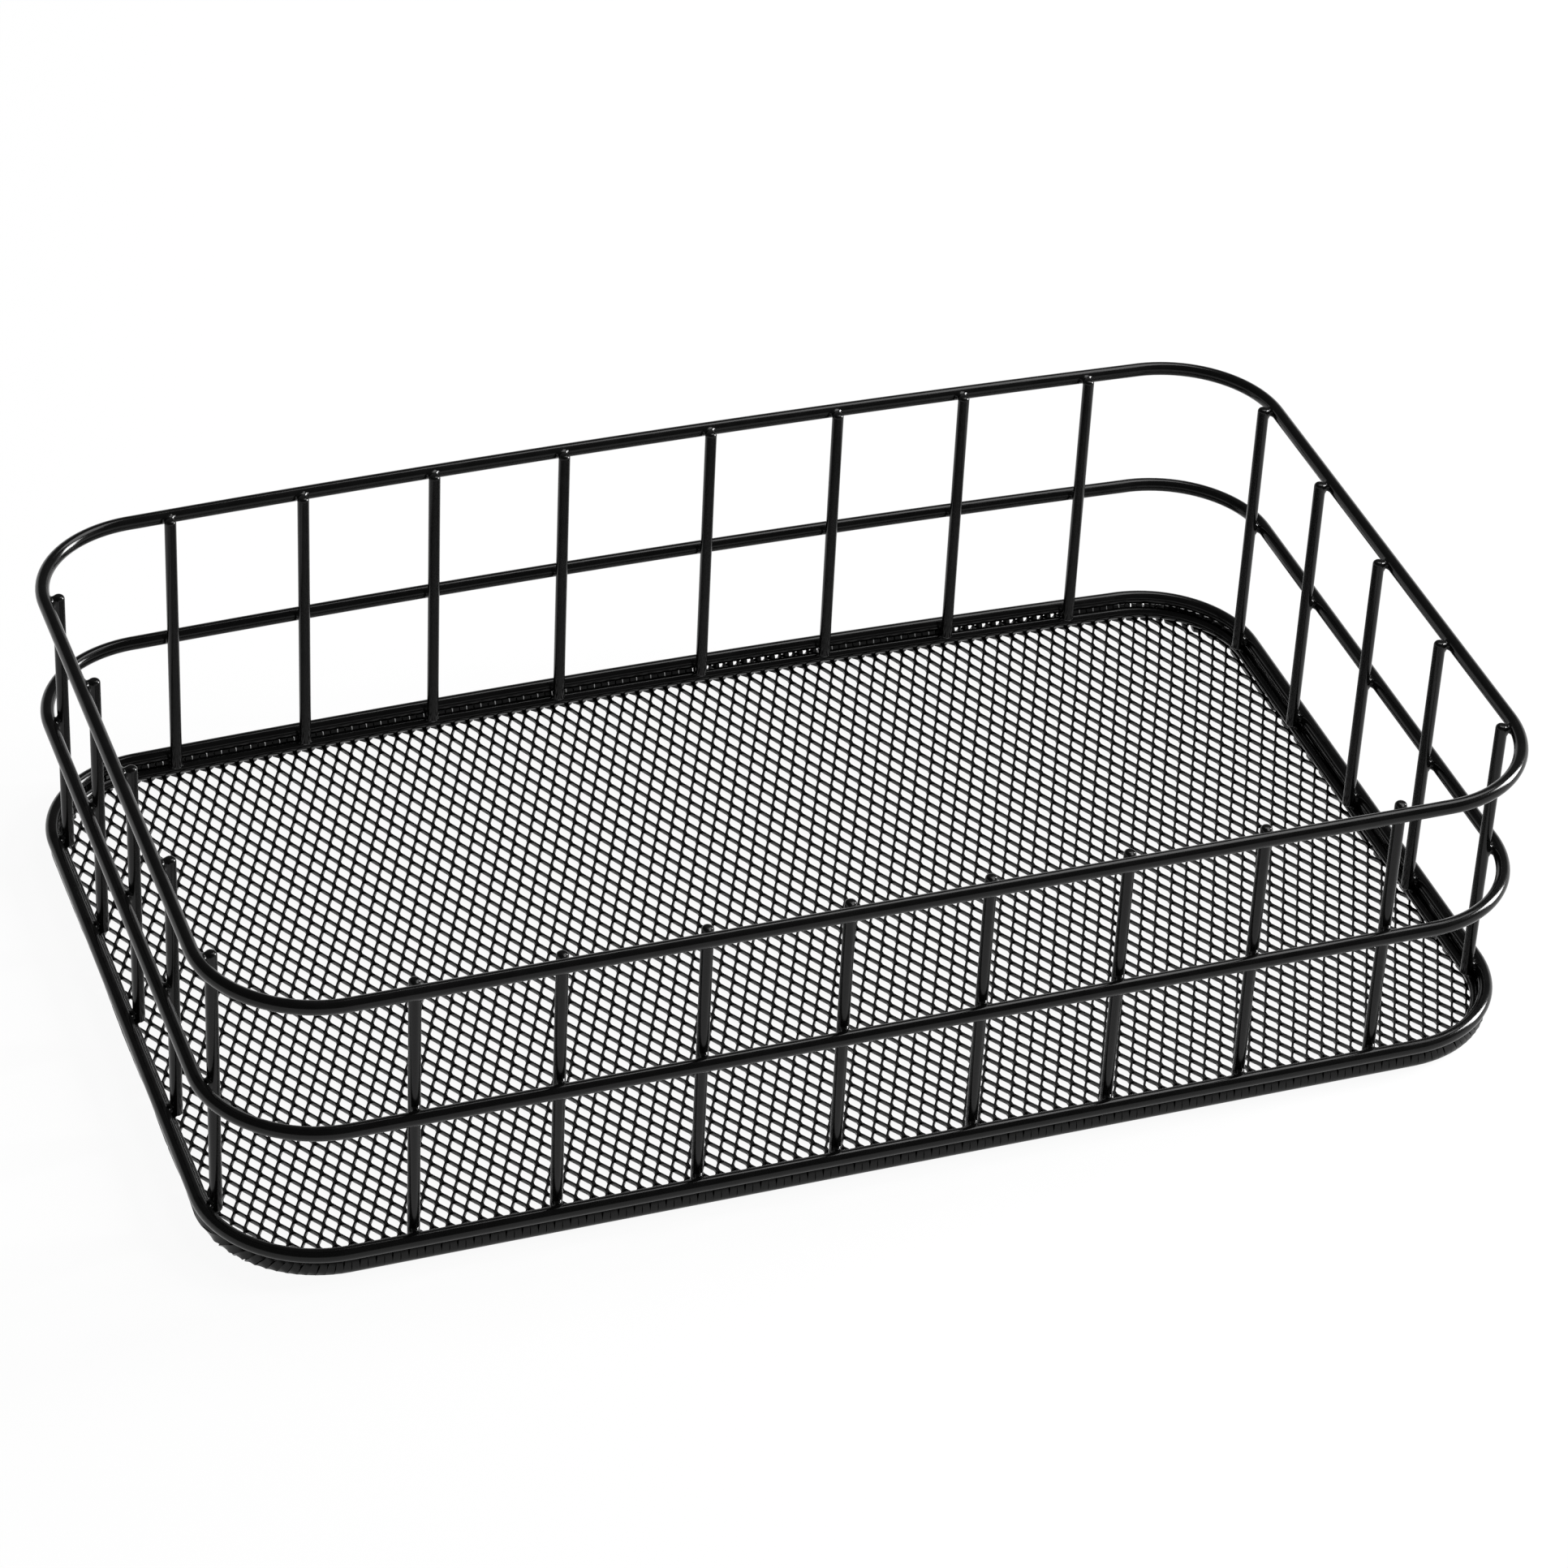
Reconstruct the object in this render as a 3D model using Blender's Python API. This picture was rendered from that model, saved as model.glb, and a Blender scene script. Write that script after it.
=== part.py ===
"""Storage basket of welded wire: three rings, uprights inside them and an expanded-metal floor.

Metres, +Z up. The origin is on the resting plane, under the middle of the basket.
+X runs along the long side and -Y is the front.
"""
import math

import bmesh
import bpy
from mathutils import Vector

# Driving sizes of the whole basket
RIM_LENGTH = 0.330
RIM_WIDTH = 0.206
RING_SPACING = 0.0364
CORNER_RADIUS = 0.029          # bend of the rings, to the centre of the wire
BACK_BOW = 0.0029              # the back bulges this far out between its corners

# Wires
RING_WIRE = 0.0035
UPRIGHT_WIRE = 0.0030
BASE_WIRE = 0.0030
WELD_GAP = 0.0003              # left between pieces that touch

# Uprights
LONG_SIDE_COUNT = 8
SHORT_SIDE_COUNT = 5
LONG_SIDE_END = 0.0426         # from the ring's end to the first upright of a long side
SHORT_SIDE_END = 0.0280        # the same on a short side
FRONT_SET_OVER = 0.0023        # the front uprights stand this far to the right
BACK_SET_OVER = 0.0049         # the left half of the back uprights stands this far to the left
SIDE_SET_OVER = 0.0029         # the side uprights stand this far to the front
TIP_DROP = 0.0006              # tip of an upright below the top of the rim ring
TIP_CHAMFER = 0.0004

# Base ring and expanded metal
BASE_INSET = 0.0019            # base ring inside the bottom ring, centre to centre
MESH_SLOT = 0.00085            # room for the metal between the base ring and the bottom ring
MESH_THICKNESS = 0.0014
EDGE_THICKNESS = 0.0006
MESH_BORDER = 0.0030
MESH_STRAND = 0.0018
GAP_PITCH_ACROSS = 0.0160      # short way of the diamonds, along X
GAP_PITCH_ALONG = 0.0328       # long way of the diamonds, along Y
CUT_OVERRUN = 0.001

CORNER_STEPS = 9
BACK_STEPS = 8
WIRE_BEVEL_RESOLUTION = 4
WIRE_SIDES = 12

# Places worked out from the sizes
HALF_LENGTH = (RIM_LENGTH - RING_WIRE) / 2
HALF_WIDTH = (RIM_WIDTH - RING_WIRE) / 2
STRAIGHT_X = HALF_LENGTH - CORNER_RADIUS
STRAIGHT_Y = HALF_WIDTH - CORNER_RADIUS
BASE_Z = MESH_THICKNESS + WELD_GAP + BASE_WIRE / 2
BASE_REACH = RING_WIRE / 2 + BASE_WIRE / 2 + MESH_SLOT
BOTTOM_Z = BASE_Z + math.sqrt(BASE_REACH**2 - BASE_INSET**2)
RING_HEIGHTS = {
    "bottom_ring": BOTTOM_Z,
    "middle_ring": BOTTOM_Z + RING_SPACING,
    "top_rim_ring": BOTTOM_Z + 2 * RING_SPACING,
}
UPRIGHT_FOOT = BASE_Z + BASE_WIRE / 2 + WELD_GAP
UPRIGHT_TIP = RING_HEIGHTS["top_rim_ring"] + RING_WIRE / 2 - TIP_DROP
UPRIGHT_INSET = RING_WIRE / 2 + WELD_GAP + UPRIGHT_WIRE / 2


def clear_scene():
    for old in list(bpy.data.objects):
        bpy.data.objects.remove(old, do_unlink=True)


def powder_coat(name, brightness, roughness):
    material = bpy.data.materials.new(name)
    material.use_nodes = True
    shader = material.node_tree.nodes["Principled BSDF"]
    shader.inputs["Base Color"].default_value = (brightness, brightness, brightness, 1)
    shader.inputs["Roughness"].default_value = roughness
    shader.inputs["Metallic"].default_value = 0
    return material


def bowed(x, y, z):
    """A point of the even outline, moved to where it lies on the bowed one.

    The back corners are drawn in, so the back bulges between them.
    """
    share_x = min(abs(x) / STRAIGHT_X, 1)
    share_y = min(max(y, 0) / STRAIGHT_Y, 1)
    return Vector((x, y - BACK_BOW * share_x**2 * share_y, z))


def outline(offset, z):
    """Points of the rounded rectangle that the rings follow, moved out by offset."""
    radius = CORNER_RADIUS + offset
    points = []
    for quarter, (side_x, side_y) in enumerate(((1, 1), (-1, 1), (-1, -1), (1, -1))):
        for step in range(CORNER_STEPS + 1):
            angle = (quarter + step / CORNER_STEPS) * math.pi / 2
            x = side_x * STRAIGHT_X + radius * math.cos(angle)
            y = side_y * STRAIGHT_Y + radius * math.sin(angle)
            points.append(bowed(x, y, z))
        if quarter == 0:
            for step in range(1, BACK_STEPS):
                x = STRAIGHT_X * (1 - 2 * step / BACK_STEPS)
                points.append(bowed(x, STRAIGHT_Y + radius, z))
    return points


def spot_on_side(along, half_side, half_across):
    """Where the ring is at a distance along a side, and its outward direction there.

    The answer is (along, across) twice. Past the straight stretch it follows the corner.
    """
    straight = half_side - CORNER_RADIUS
    past = max(abs(along) - straight, 0)
    angle = math.asin(min(past / CORNER_RADIUS, math.sin(math.pi / 4)))
    lean = math.copysign(math.sin(angle), along)
    place_along = along if past == 0 else math.copysign(straight, along) + CORNER_RADIUS * lean
    place_across = half_across - CORNER_RADIUS + CORNER_RADIUS * math.cos(angle)
    return (place_along, place_across), (lean, math.cos(angle))


def add_object(name, data, material, parent):
    piece = bpy.data.objects.new(name, data)
    bpy.context.scene.collection.objects.link(piece)
    data.materials.append(material)
    piece.parent = parent
    return piece


def wire_ring(name, offset, z, wire, material, parent):
    """A closed ring of round wire on the rounded outline."""
    curve = bpy.data.curves.new(name, "CURVE")
    curve.dimensions = "3D"
    curve.bevel_depth = wire / 2
    curve.bevel_resolution = WIRE_BEVEL_RESOLUTION
    spline = curve.splines.new("POLY")
    points = outline(offset, 0)
    spline.points.add(len(points) - 1)
    for place, point in zip(spline.points, points):
        place.co = (point.x, point.y, point.z, 1)
    spline.use_cyclic_u = True
    spline.use_smooth = True
    ring = add_object(name, curve, material, parent)
    ring.location.z = z
    return ring


def upright_mesh():
    """A straight cut wire with both ends chamfered, standing on its own origin."""
    length = UPRIGHT_TIP - UPRIGHT_FOOT
    radius = UPRIGHT_WIRE / 2
    mesh = bpy.data.meshes.new("upright")
    shape = bmesh.new()
    bmesh.ops.create_cone(
        shape, cap_ends=True, segments=WIRE_SIDES, radius1=radius, radius2=radius, depth=length)
    bmesh.ops.translate(shape, verts=shape.verts, vec=(0, 0, length / 2))
    caps = [face for face in shape.faces if len(face.verts) == WIRE_SIDES]
    ends = [edge for cap in caps for edge in cap.edges]
    bmesh.ops.bevel(
        shape, geom=ends, offset=TIP_CHAMFER, segments=1, affect="EDGES", profile=0.5)
    shape.to_mesh(mesh)
    shape.free()
    mesh.shade_smooth()
    mesh.set_sharp_from_angle(angle=math.radians(35))
    return mesh


def upright_row(name, count, end, half_side, half_across, place, set_over, material, parent):
    """Uprights along one side. place turns (along, across) into x and y."""
    first = end - half_side
    pitch = -2 * first / (count - 1)
    for number in range(count):
        along = first + number * pitch + set_over(number)
        spot, outward = spot_on_side(along, half_side, half_across)
        x, y = place(spot[0] - outward[0] * UPRIGHT_INSET, spot[1] - outward[1] * UPRIGHT_INSET)
        upright = add_object(f"{name}_{number + 1}", upright_mesh(), material, parent)
        upright.location = (x, y, UPRIGHT_FOOT)


def add_uprights(material, parent):
    left_half = LONG_SIDE_COUNT / 2
    long_side = (LONG_SIDE_COUNT, LONG_SIDE_END, HALF_LENGTH, HALF_WIDTH)
    short_side = (SHORT_SIDE_COUNT, SHORT_SIDE_END, HALF_WIDTH, HALF_LENGTH)
    upright_row(
        "front_upright", *long_side, lambda along, across: (along, -across),
        lambda number: FRONT_SET_OVER, material, parent)
    upright_row(
        "back_upright", *long_side, lambda along, across: bowed(along, across, 0).xy,
        lambda number: -BACK_SET_OVER if number < left_half else 0, material, parent)
    upright_row(
        "left_upright", *short_side, lambda along, across: (-across, along),
        lambda number: -SIDE_SET_OVER, material, parent)
    upright_row(
        "right_upright", *short_side, lambda along, across: (across, along),
        lambda number: -SIDE_SET_OVER, material, parent)


def slab_mesh(name, loops, low, high):
    """A flat slab between two heights. Each loop of points becomes one closed body."""
    mesh = bpy.data.meshes.new(name)
    shape = bmesh.new()
    for loop in loops:
        face = shape.faces.new([shape.verts.new((point[0], point[1], low)) for point in loop])
        face.normal_update()
        if face.normal.z > 0:
            face.normal_flip()
        raised = bmesh.ops.extrude_face_region(shape, geom=[face], use_keep_orig=True)
        top = [item for item in raised["geom"] if isinstance(item, bmesh.types.BMVert)]
        bmesh.ops.translate(shape, verts=top, vec=(0, 0, high - low))
    bmesh.ops.recalc_face_normals(shape, faces=shape.faces)
    shape.to_mesh(mesh)
    shape.free()
    return mesh


def cutter(name, mesh, parent):
    piece = bpy.data.objects.new(name, mesh)
    bpy.context.scene.collection.objects.link(piece)
    piece.parent = parent
    piece.hide_render = True
    piece.display_type = "WIRE"
    return piece


def boolean(target, tool, operation):
    modifier = target.modifiers.new(operation.lower(), "BOOLEAN")
    modifier.operation = operation
    modifier.solver = "EXACT"
    modifier.object = tool


def diamond_gaps():
    """Outlines of the diamond gaps. A bond of the metal lies on the origin."""
    half_x = GAP_PITCH_ACROSS / 2
    half_y = GAP_PITCH_ALONG / 2
    to_side = half_x * half_y / math.hypot(half_x, half_y)
    open_share = 1 - MESH_STRAND / 2 / to_side
    columns = math.ceil(HALF_LENGTH / half_x)
    rows = math.ceil(HALF_WIDTH / half_y)
    gaps = []
    for column in range(-columns, columns + 1):
        for row in range(-rows, rows + 1):
            if (column + row) % 2 == 0:
                continue
            x = column * half_x
            y = row * half_y
            reach_x = half_x * open_share
            reach_y = half_y * open_share
            gaps.append(((x + reach_x, y), (x, y + reach_y), (x - reach_x, y), (x, y - reach_y)))
    return gaps


def mesh_floor(material, parent):
    """The flat net of the floor: a plate with diamond gaps inside a plain border."""
    plate_offset = BASE_WIRE / 2 - BASE_INSET
    plate = slab_mesh("mesh_floor", [outline(plate_offset, 0)], 0, MESH_THICKNESS)
    floor = add_object("mesh_floor", plate, material, parent)
    low = -CUT_OVERRUN
    high = MESH_THICKNESS + CUT_OVERRUN
    gaps = cutter("gap_cutter", slab_mesh("gap_cutter", diamond_gaps(), low, high), parent)
    field_loop = outline(plate_offset - MESH_BORDER, 0)
    field_mesh = slab_mesh("gap_field", [field_loop], low - CUT_OVERRUN, high + CUT_OVERRUN)
    boolean(gaps, cutter("gap_field", field_mesh, parent), "INTERSECT")
    boolean(floor, gaps, "DIFFERENCE")
    return floor


def mesh_edge(material, parent):
    """The turned-up edge of the expanded metal, a strip standing round the base ring."""
    inner = BASE_WIRE / 2 + WELD_GAP - BASE_INSET
    outer = inner + EDGE_THICKNESS
    top = BOTTOM_Z - RING_WIRE / 2 - WELD_GAP
    mesh = bpy.data.meshes.new("mesh_edge")
    shape = bmesh.new()
    corners = ((outer, 0), (outer, top), (inner, top), (inner, 0))
    loops = [[shape.verts.new(point) for point in outline(offset, z)] for offset, z in corners]
    count = len(loops[0])
    for turn, loop in enumerate(loops):
        upper = loops[(turn + 1) % len(loops)]
        for step in range(count):
            after = (step + 1) % count
            shape.faces.new((loop[step], loop[after], upper[after], upper[step]))
    bmesh.ops.recalc_face_normals(shape, faces=shape.faces)
    shape.to_mesh(mesh)
    shape.free()
    return add_object("mesh_edge", mesh, material, parent)


def main():
    clear_scene()
    basket = bpy.data.objects.new("basket", None)
    bpy.context.scene.collection.objects.link(basket)
    wire_coat = powder_coat("wire_coat", brightness=0.012, roughness=0.38)
    upright_coat = powder_coat("upright_coat", brightness=0.012, roughness=0.42)
    mesh_coat = powder_coat("mesh_coat", brightness=0.010, roughness=0.5)
    for name, height in RING_HEIGHTS.items():
        wire_ring(name, 0, height, RING_WIRE, wire_coat, basket)
    wire_ring("base_ring", -BASE_INSET, BASE_Z, BASE_WIRE, wire_coat, basket)
    add_uprights(upright_coat, basket)
    mesh_floor(mesh_coat, basket)
    mesh_edge(mesh_coat, basket)


main()
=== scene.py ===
"""Looks of the welded wire storage basket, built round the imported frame.

Metres, +Z up. +X runs along the long side and -Y is the front.
"""

import math

import bpy
import numpy as np
from mathutils import Matrix, Vector


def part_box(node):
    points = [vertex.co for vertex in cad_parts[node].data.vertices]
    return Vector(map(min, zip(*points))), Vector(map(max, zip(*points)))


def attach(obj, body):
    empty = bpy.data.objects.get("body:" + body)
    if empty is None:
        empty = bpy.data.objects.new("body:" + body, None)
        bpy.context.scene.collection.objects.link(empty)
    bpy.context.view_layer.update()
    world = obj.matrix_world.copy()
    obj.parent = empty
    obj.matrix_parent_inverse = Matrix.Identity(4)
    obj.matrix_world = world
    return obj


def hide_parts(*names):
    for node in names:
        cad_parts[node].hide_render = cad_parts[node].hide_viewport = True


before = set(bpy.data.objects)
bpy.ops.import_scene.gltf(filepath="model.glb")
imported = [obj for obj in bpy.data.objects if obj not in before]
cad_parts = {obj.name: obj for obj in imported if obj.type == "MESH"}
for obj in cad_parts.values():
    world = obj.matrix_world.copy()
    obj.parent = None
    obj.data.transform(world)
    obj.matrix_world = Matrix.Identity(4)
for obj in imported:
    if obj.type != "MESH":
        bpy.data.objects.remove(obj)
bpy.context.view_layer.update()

# Camera, from a fit to the rings and uprights in the photograph
VIEW_AZIMUTH = math.radians(-21.064)
VIEW_ELEVATION = math.radians(36.288)
VIEW_ROLL = math.radians(3.091)
VIEW_DISTANCE = 1.39787        # from the middle of the bottom ring, along the view
VIEW_ASIDE = 0.00600           # camera to the right of that line
VIEW_ABOVE = 0.02795           # camera above that line, square to the view
LENS_MM = 128.36
SENSOR_MM = 36.0

# Rings
CORNER_RADIUS = 0.029          # to the centre of the wire
BACK_BOW = 0.0029              # the back bulges this far out between its corners
CORNER_STEPS = 24
BACK_STEPS = 32
RING_SIDES = 32

# Uprights
UPRIGHT_SIDES = 24
TIP_ROUNDING = 0.0009          # radius of the coated edge at the upper end
FOOT_ROUNDING = 0.0005         # and at the lower end
END_STEPS = 6

# Welds, where the coat runs over the joint of two wires
WELD_BLEND = 0.0016            # the coat fills the corner from this near to the other wire
WELD_SINK = 0.00004            # how far the lump lies under the skin of the wires
WELD_REACH = 0.0022            # furthest from the middle of the joint
WELD_AROUND = 28
WELD_ROWS = 13
MARCH_STEPS = 80               # along a ray, in the search for the surface

# Expanded metal
PITCH_ACROSS = 0.0039          # short way of a diamond, along X
PITCH_ALONG = 0.0080           # long way of a diamond, along Y, in the middle of the floor
PITCH_GROWTH_SHARE = 0.125     # the diamonds grow this much from the middle to the back edge
LINE_LEAN = 0.0039             # the lines of bonds lean this far from the middle to the back
LINE_CURL = 0.0021             # and curl this far back, as they do from the middle to the front
SHEET_SHIFT = 0.0012           # the bonds lie this far in front of their even places
BOND_LENGTH = 0.0015
STRAND_WIDTH = 0.00064
STRAND_THICKNESS = 0.00102
STRAND_TILT = math.radians(6)
STRAND_FLAT_SHARE = 0.6        # of a strand's width, flat between its rounded edges
CLOSED_TURN = math.radians(22)     # round the base ring, where the diamonds are squeezed shut
CLOSED_SHARE = 1.02            # width of a strand there, as a share of its room in the sheet
SLOT_SHARE = 0.86              # the same in the slot, where small holes are left
OPEN_SLOT_SHARE = 0.45         # the same in the bays of the back where the holes are larger
OPEN_BAYS = (("back_upright_5", "back_upright_6"), ("back_upright_7", "back_upright_8"))
PRESS_START = math.radians(50)     # round the base ring, where the fold starts to flatten
PRESS_END = math.radians(110)
PRESSED_SHARE = 1.05           # thickness of the flattened fold, as a share of the slot
PAST_SLOT = math.radians(8)    # how far the edge of the metal reaches through the slot
FINE_STEP = 0.0006             # along a strand that is bent round the base ring
SHORTEST_STEP = BOND_LENGTH / 8
SHARP_TURN = math.radians(75)  # edges of the strands that turn more than this look sharp

# Powder coat
COAT_SHADE = 0.0025            # how much light the black coat scatters back
COAT_SPECULAR = 0.25
WIRE_ROUGHNESS = 0.15
UPRIGHT_ROUGHNESS = 0.18
MESH_ROUGHNESS = 0.3
ROUGHNESS_SPREAD = 0.04        # the coat varies this much either way
DARK_SHADE_SHARE = 0.8         # of the shade, where the coat is thick
PALE_SHADE_SHARE = 1.2         # of the shade, where it is thin
DARK_BELOW = 0.35              # levels of the noise between which the shade changes
PALE_ABOVE = 0.7
GRAIN_SIZE = 0.0006
GRAIN_HEIGHT = 0.000002
GRAIN_DETAIL = 2
ROLL_SIZE = 0.004
ROLL_HEIGHT = 0.00001
ROLL_DETAIL = 1

# Studio
KEY_TOWARDS = (0.895, -0.02, 0.444)    # the way from the basket to the main lamp
KEY_DISTANCE = 1.6
KEY_WIDTH = 0.52
KEY_HEIGHT = 0.76
KEY_WATTS = 52
TOP_TOWARDS = (0.42, 0.25, 0.87)       # the way to the weaker lamp above
TOP_DISTANCE = 1.5
TOP_WIDTH = 0.9
TOP_HEIGHT = 0.6
TOP_WATTS = 8
CEILING_STRENGTH = 0.12
HORIZON_STRENGTH = 1.0
HORIZON_TOP = 0.12             # height on the unit sky where the pale horizon starts to fade
HORIZON_FADED = 0.3
FLOOR_SIZE = 12.0
FLOOR_SHADE = 0.9
FLOOR_WHITE_SHARE = 0.94       # of the floor's white that shadows don't darken


def node_size(name):
    low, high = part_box(name)
    return high - low


def node_middle(name):
    low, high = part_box(name)
    return (low + high) / 2


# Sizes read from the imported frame
RING_WIRE = node_size("top_rim_ring").z
BASE_WIRE = node_size("base_ring").z
HALF_LENGTH = (node_size("top_rim_ring").x - RING_WIRE) / 2
HALF_WIDTH = (node_size("top_rim_ring").y - RING_WIRE) / 2
BASE_INSET = HALF_LENGTH - (node_size("base_ring").x - BASE_WIRE) / 2
BASE_RADIUS = CORNER_RADIUS - BASE_INSET
BOTTOM_Z = node_middle("bottom_ring").z
BASE_Z = node_middle("base_ring").z
SHEET_THICKNESS = node_size("mesh_floor").z
OPEN_SPANS = [(node_middle(left).x, node_middle(right).x) for left, right in OPEN_BAYS]
CORE = np.array((HALF_LENGTH - CORNER_RADIUS, HALF_WIDTH - CORNER_RADIUS))
QUARTERS = ((1, 1), (-1, 1), (-1, -1), (1, -1))
UPRIGHTS = sorted(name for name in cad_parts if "_upright_" in name)

# How the edge of the expanded metal wraps round the base ring
FOLD_RADIUS = BASE_Z - SHEET_THICKNESS / 2
SLOT_TURN = math.pi / 2 + math.atan2(BOTTOM_Z - BASE_Z, BASE_INSET)
SLOT_WIDTH = math.hypot(BOTTOM_Z - BASE_Z, BASE_INSET) - (BASE_WIRE + RING_WIRE) / 2
PRESSED_THICKNESS = SLOT_WIDTH * PRESSED_SHARE
PRESSED_RADIUS = (BASE_WIRE + SLOT_WIDTH) / 2
MEAN_FOLD_RADIUS = (FOLD_RADIUS + PRESSED_RADIUS) / 2
FOLD_WIDTH = MEAN_FOLD_RADIUS * (SLOT_TURN + PAST_SLOT)
CLOSED_WIDTH = PITCH_ACROSS / 2 * CLOSED_SHARE


def away_from_core(points):
    """Nearest points of the block that the corners are bent round, distances and directions."""
    core = np.clip(points, -CORE, CORE)
    away = points - core
    distance = np.linalg.norm(away, axis=1)
    return core, distance, away / np.maximum(distance, np.finfo(float).tiny)[:, None]


def bow_at(points):
    """How far the back corners are drawn in at each place, so the back bulges between them."""
    share_x = np.minimum(np.abs(points[:, 0]) / CORE[0], 1)
    share_y = np.clip(points[:, 1] / CORE[1], 0, 1)
    return BACK_BOW * share_x**2 * share_y


def bowed(points):
    """Points of the even basket, moved to where they lie on the bowed one."""
    moved = points.copy()
    moved[:, 1] -= bow_at(points)
    return moved


def make_piece(name, points, faces, material, replaced):
    """A smooth piece of the basket from its points and faces."""
    mesh = bpy.data.meshes.new(name)
    mesh.from_pydata(points.reshape(-1, 3).tolist(), [], faces)
    mesh.shade_smooth()
    mesh.materials.append(material)
    piece = bpy.data.objects.new(name, mesh)
    bpy.context.scene.collection.objects.link(piece)
    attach(piece, "root")
    if replaced:
        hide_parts(*replaced)
    return piece


def band_faces(first, rows, sides, closed):
    """Quads round a tube, whose rows of points follow each other from the first one on."""
    faces = []
    for row in range(rows if closed else rows - 1):
        here = first + row * sides
        there = first + (row + 1) % rows * sides
        for side in range(sides):
            turn = (side + 1) % sides
            faces.append((here + side, there + side, there + turn, here + turn))
    return faces


def cap_faces(first, rows, sides):
    start = tuple(range(first, first + sides))
    end = tuple(range(first + (rows - 1) * sides, first + rows * sides))
    return [start, end[::-1]]


def ring(name, inset, height, wire, material):
    """A closed ring of round wire on the rounded outline."""
    share = np.linspace(0, 1, CORNER_STEPS + 1)
    back = np.linspace(1, -1, BACK_STEPS + 1)[1:-1]
    middles = [np.tile(corner, (CORNER_STEPS + 1, 1)) for corner in QUARTERS]
    middles.insert(1, np.stack([back, np.ones_like(back)], axis=1))
    turns = [quarter + share for quarter in range(4)]
    turns.insert(1, np.ones_like(back))
    turns = np.concatenate(turns) * math.pi / 2
    outward = np.stack([np.cos(turns), np.sin(turns)], axis=1)
    around = np.arange(RING_SIDES) / RING_SIDES * 2 * math.pi
    reach = CORNER_RADIUS - inset + wire / 2 * np.cos(around)
    flat = (np.concatenate(middles) * CORE)[:, None] + outward[:, None] * reach[None, :, None]
    lift = np.broadcast_to(height + wire / 2 * np.sin(around), flat.shape[:2])
    points = np.concatenate([flat, lift[..., None]], axis=2).reshape(-1, 3)
    faces = band_faces(0, len(turns), RING_SIDES, closed=True)
    make_piece("coated_" + name, bowed(points), faces, material, (name,))


def upright(name, material):
    """A cut wire whose ends are rounded by the coat, the upper one into a dome."""
    low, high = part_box(name)
    middle = node_middle(name)
    bend = np.linspace(0, math.pi / 2, END_STEPS + 1)
    rounding = np.repeat((FOOT_ROUNDING, TIP_ROUNDING), END_STEPS + 1)
    bend = np.concatenate([bend, bend[::-1]])
    reach = node_size(name).x / 2 - rounding * (1 - np.sin(bend))
    rise = rounding * (1 - np.cos(bend))
    height = np.where(rounding == FOOT_ROUNDING, low.z + rise, high.z - rise)
    around = -np.arange(UPRIGHT_SIDES) / UPRIGHT_SIDES * 2 * math.pi
    x = middle.x + reach[:, None] * np.cos(around)
    y = middle.y + reach[:, None] * np.sin(around)
    z = np.broadcast_to(height[:, None], x.shape)
    faces = band_faces(0, len(height), UPRIGHT_SIDES, closed=False)
    faces += cap_faces(0, len(height), UPRIGHT_SIDES)
    points = np.stack([x, y, z], axis=2)
    make_piece("coated_" + name, points, faces, material, (name,))


def coated_joint(points, ring_away, ring_radius, upright_radius, low, high):
    """Distance to a ring and an upright whose shared coat fills the corner between them.

    The ring runs along X at height zero. The upright stands on the origin, from low to high.
    """
    x, y, z = points[..., 0], points[..., 1], points[..., 2]
    to_ring = np.hypot(y - ring_away, z) - ring_radius
    rounding = np.where(z - low < high - z, FOOT_ROUNDING, TIP_ROUNDING)
    beside = np.hypot(x, y) - upright_radius + rounding
    beyond = np.maximum(low - z, z - high) + rounding
    within = np.minimum(np.maximum(beside, beyond), 0)
    to_upright = within + np.hypot(np.maximum(beside, 0), np.maximum(beyond, 0)) - rounding
    near = np.maximum(WELD_BLEND - np.abs(to_ring - to_upright), 0) / WELD_BLEND
    return np.minimum(to_ring, to_upright) - near**2 * WELD_BLEND / 4


def weld_rays(axis):
    """Rows of directions all round an axis, from near one end of it to near the other."""
    along = np.array((1.0, 0.0, 0.0))
    across = np.cross(axis, along)
    tilt = np.linspace(-math.pi / 2, math.pi / 2, WELD_ROWS + 2)[1:-1]
    around = -np.arange(WELD_AROUND) / WELD_AROUND * 2 * math.pi
    level = np.cos(tilt)[:, None]
    return (
        (level * np.cos(around))[..., None] * along
        + (level * np.sin(around))[..., None] * across
        + (np.sin(tilt)[:, None] * np.ones_like(around))[..., None] * axis)


def length_inside(reach, distance):
    """How far each ray goes before it comes out of the coat.

    Reach is the length to each of its steps, and distance is how far outside each step lies.
    """
    outside = distance > 0
    found = outside.any(axis=2)
    after = np.where(found, outside.argmax(axis=2), MARCH_STEPS - 1)
    before = np.maximum(after - 1, 0)
    at_after = np.take_along_axis(distance, after[..., None], axis=2)[..., 0]
    at_before = np.take_along_axis(distance, before[..., None], axis=2)[..., 0]
    share = np.where(found, at_before / (at_before - at_after), 1)
    return reach[before] + share * (reach[after] - reach[before])


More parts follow.
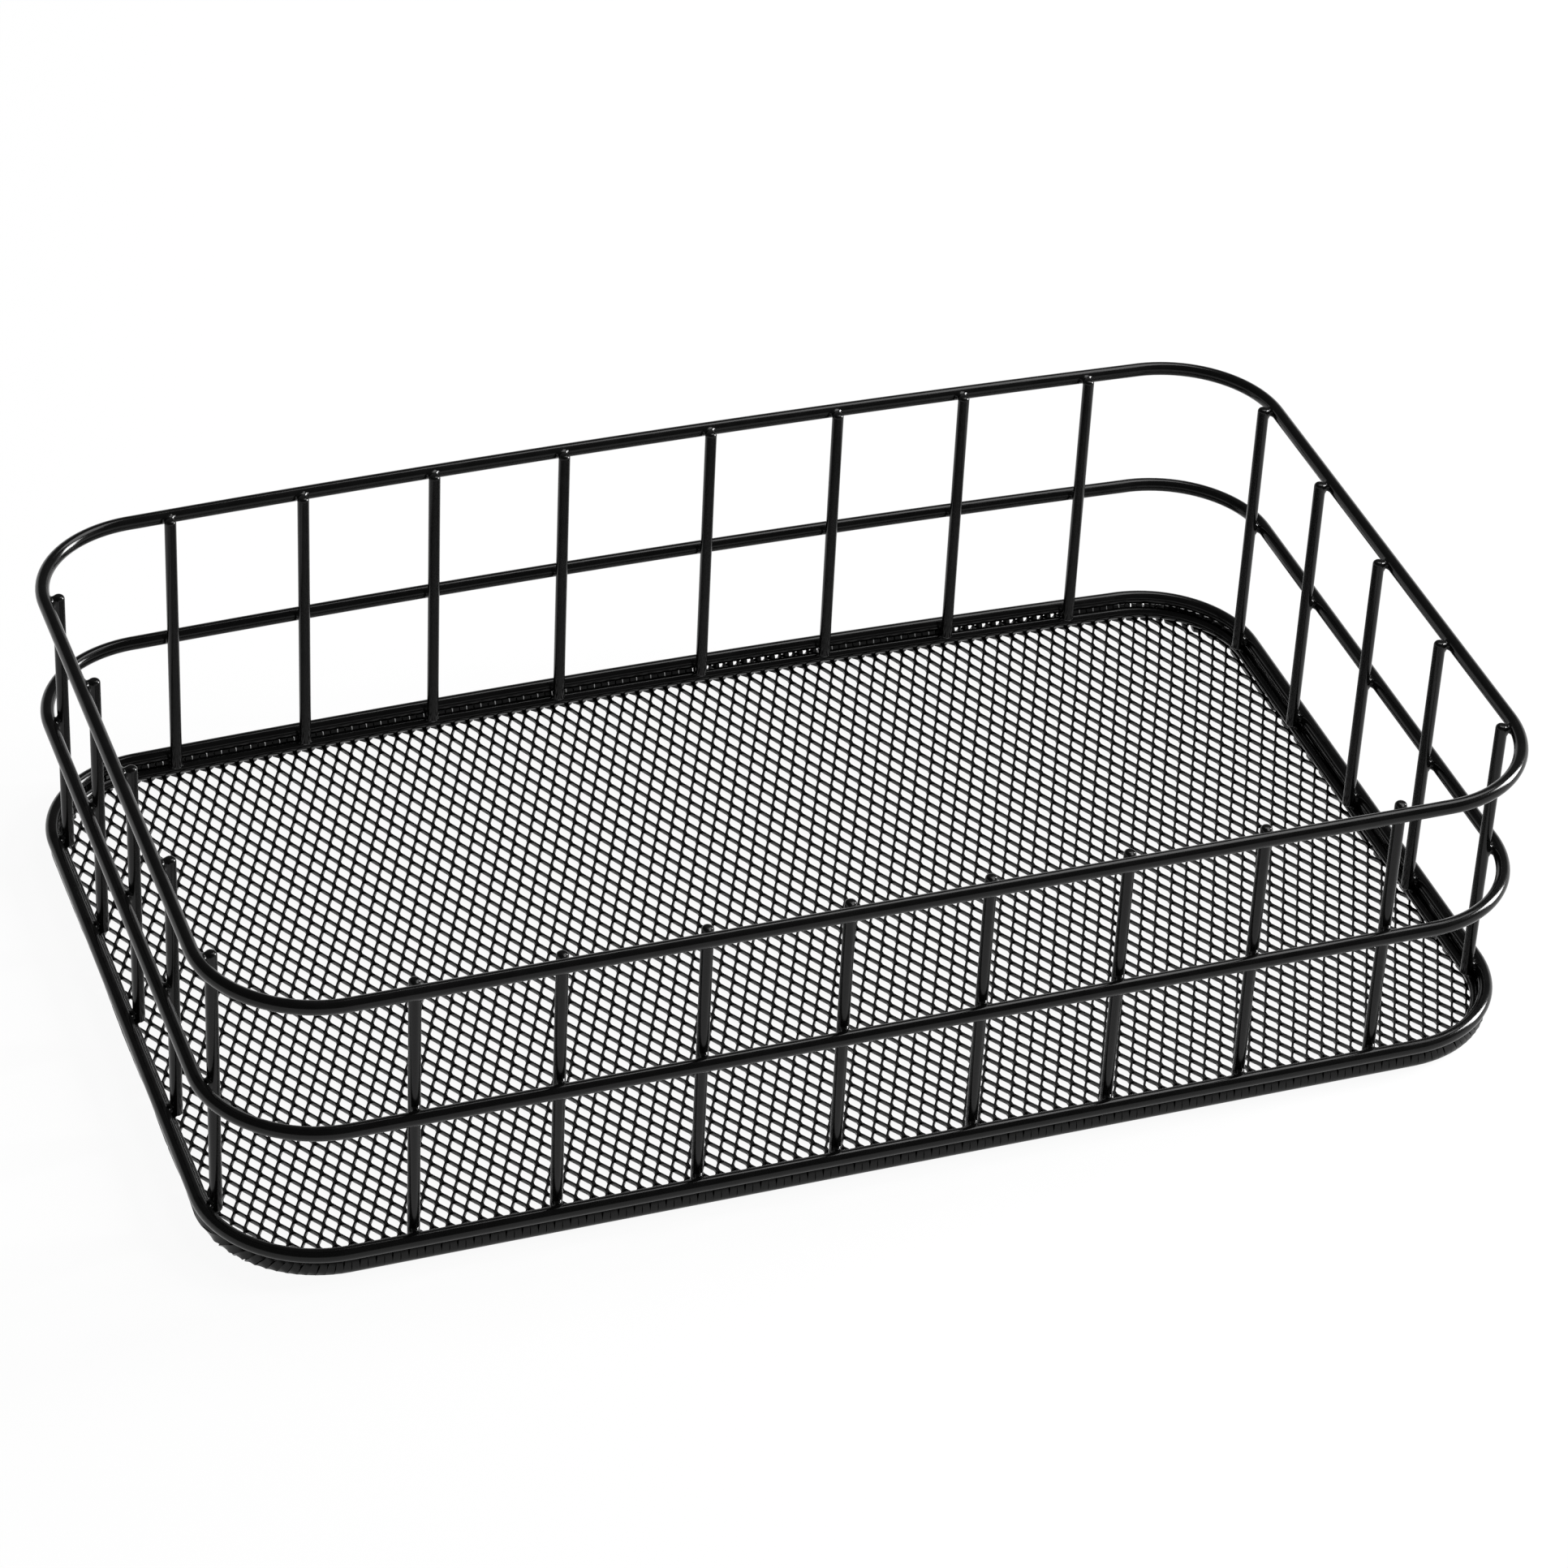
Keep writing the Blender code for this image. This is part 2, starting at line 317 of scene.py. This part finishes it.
def weld_points(ring_away, ring_radius, upright_radius, low, high):
    """Points of the lump of coated metal between an upright and a ring, its two ends last.

    The surface is found along rays from the middle of the joint. Where a ray stays inside a
    wire, the lump ends inside that wire.
    """
    ring_middle = np.array((0, ring_away, 0))
    on_upright = np.array((0, min(ring_away, upright_radius), np.clip(0, low, high)))
    axis = ring_middle - on_upright
    gap = np.linalg.norm(axis) - ring_radius
    axis = axis / np.linalg.norm(axis)
    start = on_upright + axis * gap / 2
    rays = weld_rays(axis)
    reach = np.linspace(0, WELD_REACH, MARCH_STEPS)
    spots = start + rays[:, :, None] * reach[:, None]
    distance = WELD_SINK + coated_joint(
        spots, ring_away, ring_radius, upright_radius, low, high)
    points = start + rays * length_inside(reach, distance)[..., None]
    ends = start + np.array((-axis, axis)) * WELD_REACH
    return np.concatenate([points.reshape(-1, 3), ends])


def weld_faces(first):
    """Faces of the lump whose rows of points follow each other from the first one on."""
    faces = band_faces(first, WELD_ROWS, WELD_AROUND, closed=False)
    low_end = first + WELD_ROWS * WELD_AROUND
    last_row = low_end - WELD_AROUND
    for side in range(WELD_AROUND):
        turn = (side + 1) % WELD_AROUND
        faces.append((low_end, first + side, first + turn))
        faces.append((low_end + 1, last_row + turn, last_row + side))
    return faces


def welds(name, inset, height, wire, material):
    """The welds of one ring to all the uprights."""
    all_points = []
    faces = []
    first = 0
    for upright_name in UPRIGHTS:
        low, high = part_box(upright_name)
        middle = node_middle(upright_name)
        place = np.array([(middle.x, middle.y)])
        if upright_name.startswith("back"):
            place[:, 1] += bow_at(place)
        _, distance, outward = away_from_core(place)
        points = weld_points(
            CORNER_RADIUS - inset - distance[0], wire / 2, (high.x - low.x) / 2,
            low.z - height, high.z - height)
        out_x, out_y = outward[0]
        x = middle.x + points[:, 0] * out_y + points[:, 1] * out_x
        y = middle.y - points[:, 0] * out_x + points[:, 1] * out_y
        all_points.append(np.stack([x, y, points[:, 2] + height], axis=1))
        faces += weld_faces(first)
        first += len(points)
    make_piece(name, np.concatenate(all_points), faces, material, ())


def laid(x, y):
    """Where places of the even sheet lie in the basket's floor, which is stretched and leans."""
    share = y / HALF_WIDTH
    return np.stack([
        x - LINE_LEAN * share + LINE_CURL * share**2,
        y + HALF_WIDTH * PITCH_GROWTH_SHARE * (share**2 - 1) / 2], axis=-1)


def past_ring(flat):
    """How far places lie outside the centre line of the base ring."""
    _, distance, _ = away_from_core(flat)
    return distance - BASE_RADIUS


def strand_runs(column, nearest, furthest):
    """Where a strand is between two distances outside the base ring, as stretches of the sheet."""
    reach = HALF_WIDTH * (1 + PITCH_GROWTH_SHARE)
    along = np.arange(-reach, reach, FINE_STEP)
    middle = np.full_like(along, (column + 1 / 2) * PITCH_ACROSS / 2)
    past = past_ring(laid(middle, along))
    inside = (past > nearest) & (past < furthest)
    turns = np.flatnonzero(inside[1:] != inside[:-1])
    ends = []
    for turn in turns:
        before, after = past[turn:turn + 2]
        bound = min((nearest, furthest), key=lambda edge: abs(edge - (before + after) / 2))
        share = (bound - before) / (after - before)
        ends.append(along[turn] + share * FINE_STEP)
    return list(zip(ends[::2], ends[1::2]))


def strand_places(low, high, step):
    """Places along Y where a strand's shape is set: the ends of its bonds, and any between."""
    half = PITCH_ALONG / 2
    count = math.ceil(max(abs(low), abs(high)) / half) + 1
    bonds = np.arange(-count, count + 1) * half - SHEET_SHIFT
    places = np.concatenate([bonds - BOND_LENGTH / 2, bonds + BOND_LENGTH / 2])
    places = places[(places > low + SHORTEST_STEP) & (places < high - SHORTEST_STEP)]
    places = np.sort(np.concatenate([places, (low, high)]))
    if step is None:
        return places
    parts = [
        np.linspace(start, end, max(round((end - start) / step), 1) + 1)[:-1]
        for start, end in zip(places[:-1], places[1:])]
    return np.concatenate([*parts, (high,)])


def reached(flat, start, end):
    """Share of the way from one turn round the base ring to another, eased at both ends."""
    turn = past_ring(flat) / MEAN_FOLD_RADIUS
    share = np.clip((turn - start) / (end - start), 0, 1)
    return share * share * (3 - 2 * share)


def slot_strand_width(flat):
    """Width of the strands in the slot, which leave larger holes in some bays of the back."""
    open_slot = np.zeros(len(flat), bool)
    for left, right in OPEN_SPANS:
        open_slot |= (flat[:, 0] > left) & (flat[:, 0] < right) & (flat[:, 1] > 0)
    return PITCH_ACROSS / 2 * np.where(open_slot, OPEN_SLOT_SHARE, SLOT_SHARE)


def zigzag(column, places):
    """Where a strand lies, as a share of the way from its left line of bonds to its right."""
    phase = (places + SHEET_SHIFT) / PITCH_ALONG + (column % 2) / 2
    to_left_bond = np.abs(phase - np.round(phase)) * PITCH_ALONG
    free = PITCH_ALONG / 2 - BOND_LENGTH
    return np.clip((to_left_bond - BOND_LENGTH / 2) / free, 0, 1)


def strand_sections(column, places):
    """Six points round the strand at each place, as x, y and height in the flat sheet.

    A strand zigzags between two lines of bonds. It is rounded, but square where it is bonded.
    Round the base ring it is wide enough to close the diamonds, and then pressed to the slot.
    """
    lean = zigzag(column, places)
    line_x = (column + lean) * PITCH_ACROSS / 2
    line = laid(line_x, places)
    closed = reached(line, 0, CLOSED_TURN)
    pressed = reached(line, PRESS_START, PRESS_END)
    tilt = STRAND_TILT * (1 - closed)
    width = STRAND_WIDTH + (CLOSED_WIDTH - STRAND_WIDTH) * closed
    half = (width + (slot_strand_width(line) - CLOSED_WIDTH) * pressed) / 2
    to_middle = (1 - 2 * lean) * half
    middle_x = line_x + to_middle * np.cos(tilt)
    middle_h = to_middle * np.sin(tilt)
    rounded = (1 - STRAND_FLAT_SHARE) * (1 - closed)
    right = half * (1 - rounded * (1 - lean))
    left = half * (1 - rounded * lean)
    wide = np.stack([half, right, -left, -half, -left, right], axis=1)
    thickness = STRAND_THICKNESS + (PRESSED_THICKNESS - STRAND_THICKNESS) * pressed
    thick = thickness[:, None] * np.array((0, 1, 1, 0, -1, -1)) / 2
    x = middle_x[:, None] + wide * np.cos(tilt)[:, None] - thick * np.sin(tilt)[:, None]
    h = middle_h[:, None] + wide * np.sin(tilt)[:, None] + thick * np.cos(tilt)[:, None]
    flat = laid(x, np.broadcast_to(places[:, None], x.shape))
    return np.concatenate([flat, h[..., None]], axis=2)


def fold(points):
    """Points of the flat sheet, moved to where they lie once its edge is wrapped."""
    core, distance, outward = away_from_core(points[:, :2])
    past = np.maximum(distance - BASE_RADIUS, 0)
    turn = past / MEAN_FOLD_RADIUS
    pressed = reached(points[:, :2], PRESS_START, PRESS_END)
    radius = FOLD_RADIUS + (PRESSED_RADIUS - FOLD_RADIUS) * pressed
    reach = np.where(
        past > 0, BASE_RADIUS + (radius - points[:, 2]) * np.sin(turn), distance)
    flat = core + outward * reach[:, None]
    z = BASE_Z - (radius - points[:, 2]) * np.cos(turn)
    return bowed(np.concatenate([flat, z[:, None]], axis=1))


def expanded_metal(name, nearest, furthest, step, material, replaced):
    """The strands of the sheet that lie between two distances outside the base ring."""
    furthest_x = CORE[0] + BASE_RADIUS + FOLD_WIDTH + LINE_LEAN + LINE_CURL
    columns = math.ceil(furthest_x / (PITCH_ACROSS / 2))
    all_points = []
    faces = []
    first = 0
    for column in range(-columns, columns):
        for low, high in strand_runs(column, nearest, furthest):
            sections = strand_sections(column, strand_places(low, high, step))
            rows, sides = sections.shape[:2]
            all_points.append(fold(sections.reshape(-1, 3)))
            faces += band_faces(first, rows, sides, closed=False)
            faces += cap_faces(first, rows, sides)
            first += rows * sides
    sheet = make_piece(
        name, np.concatenate(all_points), faces, material, replaced)
    sheet.data.set_sharp_from_angle(angle=SHARP_TURN)


def connect(tree, source, output, target, entry):
    tree.links.new(source.outputs[output], target.inputs[entry])


def add_node(tree, kind, **values):
    """A shader node. Values are set on its inputs, in plain words with underscores."""
    node = tree.nodes.new(kind)
    for name, value in values.items():
        node.inputs[name.replace("_", " ").title()].default_value = value
    return node


def math_node(tree, operation):
    node = tree.nodes.new("ShaderNodeMath")
    node.operation = operation
    return node


def noise(tree, place, size, detail):
    """Noise whose spots are about size across."""
    node = add_node(tree, "ShaderNodeTexNoise", scale=1 / size, detail=detail)
    connect(tree, place, "Object", node, "Vector")
    return node


def grey(shade):
    return shade, shade, shade, 1


def vary_shade(tree, roll, shader):
    """A coat that is a little darker here and a little paler there."""
    tone = tree.nodes.new("ShaderNodeValToRGB")
    dark, pale = tone.color_ramp.elements
    dark.position = DARK_BELOW
    dark.color = grey(COAT_SHADE * DARK_SHADE_SHARE)
    pale.position = PALE_ABOVE
    pale.color = grey(COAT_SHADE * PALE_SHADE_SHARE)
    connect(tree, roll, "Fac", tone, "Fac")
    connect(tree, tone, "Color", shader, "Base Color")


def vary_roughness(tree, roll, shader, roughness):
    """A coat that is a little smoother here and a little rougher there."""
    rough = add_node(
        tree, "ShaderNodeMapRange",
        to_min=roughness - ROUGHNESS_SPREAD, to_max=roughness + ROUGHNESS_SPREAD)
    connect(tree, roll, "Fac", rough, "Value")
    connect(tree, rough, "Result", shader, "Roughness")


def powder_coat(name, roughness):
    """Black powder coat, whose skin is finely grained and rolls softly."""
    material = bpy.data.materials.new(name)
    material.use_nodes = True
    tree = material.node_tree
    shader = tree.nodes["Principled BSDF"]
    shader.inputs["Metallic"].default_value = 0
    shader.inputs["Specular IOR Level"].default_value = COAT_SPECULAR
    place = tree.nodes.new("ShaderNodeTexCoord")
    grain = noise(tree, place, GRAIN_SIZE, GRAIN_DETAIL)
    roll = noise(tree, place, ROLL_SIZE, ROLL_DETAIL)
    vary_shade(tree, roll, shader)
    vary_roughness(tree, roll, shader, roughness)
    rolling = add_node(tree, "ShaderNodeBump", strength=1, distance=ROLL_HEIGHT)
    connect(tree, roll, "Fac", rolling, "Height")
    grained = add_node(tree, "ShaderNodeBump", strength=1, distance=GRAIN_HEIGHT)
    connect(tree, grain, "Fac", grained, "Height")
    connect(tree, rolling, "Normal", grained, "Normal")
    connect(tree, grained, "Normal", shader, "Normal")
    return material


def seen_directly(tree):
    """One for rays that show the background itself: to the camera, mirrored or through glass."""
    path = tree.nodes.new("ShaderNodeLightPath")
    seen_or_mirrored = math_node(tree, "MAXIMUM")
    connect(tree, path, "Is Camera Ray", seen_or_mirrored, 0)
    connect(tree, path, "Is Glossy Ray", seen_or_mirrored, 1)
    any_of_them = math_node(tree, "MAXIMUM")
    connect(tree, seen_or_mirrored, "Value", any_of_them, 0)
    connect(tree, path, "Is Transmission Ray", any_of_them, 1)
    return any_of_them


def floor_white():
    """A pale surface that shows white and keeps a soft shadow."""
    material = bpy.data.materials.new("floor_white")
    material.use_nodes = True
    tree = material.node_tree
    tree.nodes.remove(tree.nodes["Principled BSDF"])
    lit = add_node(tree, "ShaderNodeBsdfDiffuse", color=grey(FLOOR_SHADE))
    white = tree.nodes.new("ShaderNodeEmission")
    share = math_node(tree, "MULTIPLY")
    share.inputs[1].default_value = FLOOR_WHITE_SHARE
    connect(tree, seen_directly(tree), "Value", share, 0)
    mix = tree.nodes.new("ShaderNodeMixShader")
    connect(tree, share, "Value", mix, "Fac")
    connect(tree, lit, "BSDF", mix, 1)
    connect(tree, white, "Emission", mix, 2)
    connect(tree, mix, "Shader", tree.nodes["Material Output"], "Surface")
    return material


def floor():
    """The wide floor that the basket stands on."""
    mesh = bpy.data.meshes.new("floor")
    half = FLOOR_SIZE / 2
    corners = [(x * half, y * half, 0) for x, y in QUARTERS]
    mesh.from_pydata(corners, [], [(0, 1, 2, 3)])
    mesh.materials.append(floor_white())
    plane = bpy.data.objects.new("floor", mesh)
    bpy.context.scene.collection.objects.link(plane)


def sky():
    """A pale horizon under a dim ceiling."""
    world = bpy.data.worlds.new("studio")
    bpy.context.scene.world = world
    world.use_nodes = True
    tree = world.node_tree
    place = tree.nodes.new("ShaderNodeTexCoord")
    split = tree.nodes.new("ShaderNodeSeparateXYZ")
    connect(tree, place, "Generated", split, "Vector")
    fade = add_node(
        tree, "ShaderNodeMapRange", from_min=HORIZON_TOP, from_max=HORIZON_FADED,
        to_min=HORIZON_STRENGTH, to_max=CEILING_STRENGTH)
    connect(tree, split, "Z", fade, "Value")
    connect(tree, fade, "Result", tree.nodes["Background"], "Strength")
    tree.nodes["Background"].inputs["Color"].default_value = grey(1)


def soft_lamp(name, towards, distance, width, height, watts):
    """A rectangular softbox aimed at the basket."""
    data = bpy.data.lights.new(name, "AREA")
    data.shape = "RECTANGLE"
    data.size = width
    data.size_y = height
    data.energy = watts
    lamp = bpy.data.objects.new(name, data)
    bpy.context.scene.collection.objects.link(lamp)
    direction = Vector(towards).normalized()
    lamp.location = direction * distance
    lamp.rotation_euler = direction.to_track_quat("Z", "Y").to_euler()


def photo_camera():
    """The camera at the photograph's viewing angle."""
    back = Vector((
        math.sin(VIEW_AZIMUTH) * math.cos(VIEW_ELEVATION),
        -math.cos(VIEW_AZIMUTH) * math.cos(VIEW_ELEVATION),
        math.sin(VIEW_ELEVATION)))
    right = Vector((0, 0, 1)).cross(back).normalized()
    up = back.cross(right)
    rolled_right = right * math.cos(VIEW_ROLL) + up * math.sin(VIEW_ROLL)
    rolled_up = up * math.cos(VIEW_ROLL) - right * math.sin(VIEW_ROLL)
    place = rolled_right * VIEW_ASIDE + rolled_up * VIEW_ABOVE + back * VIEW_DISTANCE
    data = bpy.data.cameras.new("photo_camera")
    data.sensor_fit = "HORIZONTAL"
    data.sensor_width = SENSOR_MM
    data.lens = LENS_MM
    camera = bpy.data.objects.new("photo_camera", data)
    bpy.context.scene.collection.objects.link(camera)
    turned = Matrix((rolled_right, rolled_up, back)).transposed().to_4x4()
    camera.matrix_world = Matrix.Translation(place + Vector((0, 0, BOTTOM_Z))) @ turned
    bpy.context.scene.camera = camera


def basket():
    wire_coat = powder_coat("coated_wire", WIRE_ROUGHNESS)
    upright_coat = powder_coat("coated_upright", UPRIGHT_ROUGHNESS)
    mesh_coat = powder_coat("coated_mesh", MESH_ROUGHNESS)
    for name in ("top_rim_ring", "middle_ring", "bottom_ring"):
        height = node_middle(name).z
        ring(name, 0, height, RING_WIRE, wire_coat)
        welds("welds_" + name, 0, height, RING_WIRE, wire_coat)
    ring("base_ring", BASE_INSET, BASE_Z, BASE_WIRE, wire_coat)
    welds("welds_base_ring", BASE_INSET, BASE_Z, BASE_WIRE, wire_coat)
    for name in UPRIGHTS:
        upright(name, upright_coat)
    expanded_metal(
        "expanded_metal_floor", -math.inf, 0, None, mesh_coat, ("mesh_floor",))
    expanded_metal(
        "expanded_metal_edge", 0, FOLD_WIDTH, FINE_STEP, mesh_coat, ("mesh_edge",))


photo_camera()
basket()
floor()
sky()
soft_lamp("key_lamp", KEY_TOWARDS, KEY_DISTANCE, KEY_WIDTH, KEY_HEIGHT, KEY_WATTS)
soft_lamp("top_lamp", TOP_TOWARDS, TOP_DISTANCE, TOP_WIDTH, TOP_HEIGHT, TOP_WATTS)
bpy.context.scene.view_settings.view_transform = "Standard"
